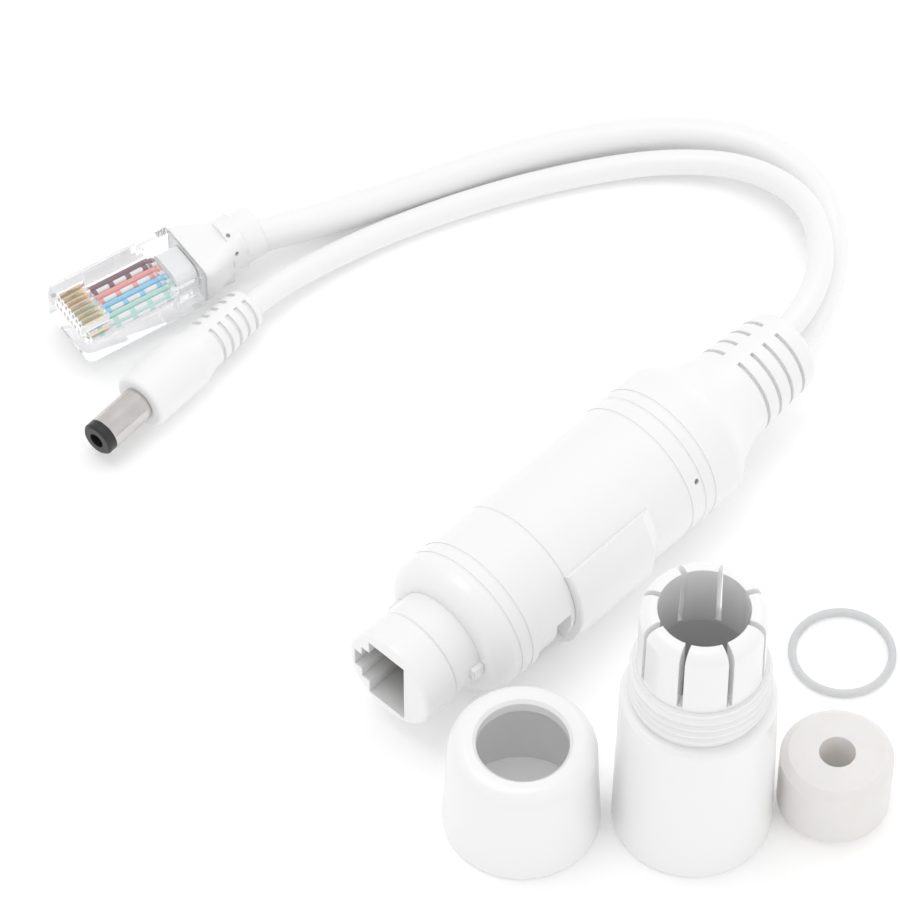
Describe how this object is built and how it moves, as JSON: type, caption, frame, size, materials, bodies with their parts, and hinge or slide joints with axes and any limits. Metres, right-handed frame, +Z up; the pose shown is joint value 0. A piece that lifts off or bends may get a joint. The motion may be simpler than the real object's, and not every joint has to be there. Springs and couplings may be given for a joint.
{
  "type": "poe splitter",
  "caption": "Weatherproof round power-over-Ethernet splitter with a keyed network socket, a network plug lead, a DC barrel plug lead and a loose cable sealing kit.",
  "frame": {"origin": "centre of the nose's front face, on the housing axis", "axes": "+X from the nose to the tail along the housing axis, +Z up from the surface it lies on"},
  "size_m": [0.1305, 0.1519, 0.049],
  "materials": {
    "shell_white": "smooth glossy white",
    "boot_white": "satin white, slightly soft",
    "jacket_white": "satin white soft cable jacket",
    "clear_plastic": "clear and glossy",
    "socket_plastic": "dark moulding",
    "gold_contact": "gold plated",
    "nickel": "polished nickel plate",
    "tip_black": "black moulding",
    "wire_brown": "insulated wire",
    "wire_orange": "insulated wire",
    "wire_blue": "insulated wire",
    "wire_green": "insulated wire",
    "board_green": "solder mask",
    "chip_black": "moulded package",
    "ferrite": "matte dark grey",
    "copper": "enamelled copper",
    "can_aluminium": "brushed can",
    "light_clear": "clear light guide",
    "seal_rubber": "translucent silicone, faintly warm",
    "ring_rubber": "pale silicone"
  },
  "bodies": {
    "splitter": {"port_bezel": "shell_white", "bayonet_collar": "shell_white", "jack_core": "socket_plastic", "contact_carrier": "socket_plastic", "jack_contacts": "gold_contact", "front_shell": "shell_white", "rear_shell": "shell_white", "light_pipe": "light_clear", "status_led": "light_clear", "tail_boot": "boot_white", "lead_clamp": "socket_plastic", "main_board": "board_green", "transformer_core": "ferrite", "transformer_winding": "copper", "controller_chip": "chip_black", "bridge_rectifiers": "chip_black", "input_capacitor": "can_aluminium", "output_capacitor": "can_aluminium", "power_inductor": "ferrite", "socket_pins": "gold_contact", "inner_ethernet_wires": "wire_orange", "inner_dc_wires": "wire_brown", "ethernet_lead": "jacket_white", "dc_lead": "jacket_white", "rj45_body": "clear_plastic", "rj45_contacts": "gold_contact", "wires_brown": "wire_brown", "wires_orange": "wire_orange", "wires_blue": "wire_blue", "wires_green": "wire_green", "rj45_jacket_end": "jacket_white", "rj45_wedge": "clear_plastic", "rj45_boot": "boot_white", "dc_barrel": "nickel", "dc_tip_insulator": "tip_black", "dc_centre_contact": "nickel", "dc_overmould": "boot_white"},
    "plug_latch": {"rj45_latch": "clear_plastic"},
    "sleeve": {"sealing_sleeve": "shell_white"},
    "cap": {"compression_cap": "shell_white"},
    "grommet": {"sealing_grommet": "seal_rubber"},
    "ring": {"o_ring": "ring_rubber"}
  },
  "joints": [
    {"name": "latch_flex", "type": "hinge", "parent": "splitter", "child": "plug_latch", "pos_m": [0.01767, 0.08341, -0.00918], "axis": [-0.2062, -0.9785, 0], "range_deg": [0, 6], "stiffness_Nm_per_rad": 0.05},
    {"name": "sleeve_lift", "type": "slide", "parent": "splitter", "child": "sleeve", "axis": [0, 0, 1], "range_m": [0, 0.06]},
    {"name": "cap_lift", "type": "slide", "parent": "splitter", "child": "cap", "axis": [0, 0, 1], "range_m": [0, 0.06]},
    {"name": "grommet_lift", "type": "slide", "parent": "splitter", "child": "grommet", "axis": [0, 0, 1], "range_m": [0, 0.06]},
    {"name": "ring_lift", "type": "slide", "parent": "splitter", "child": "ring", "axis": [0, 0, 1], "range_m": [0, 0.06]}
  ]
}
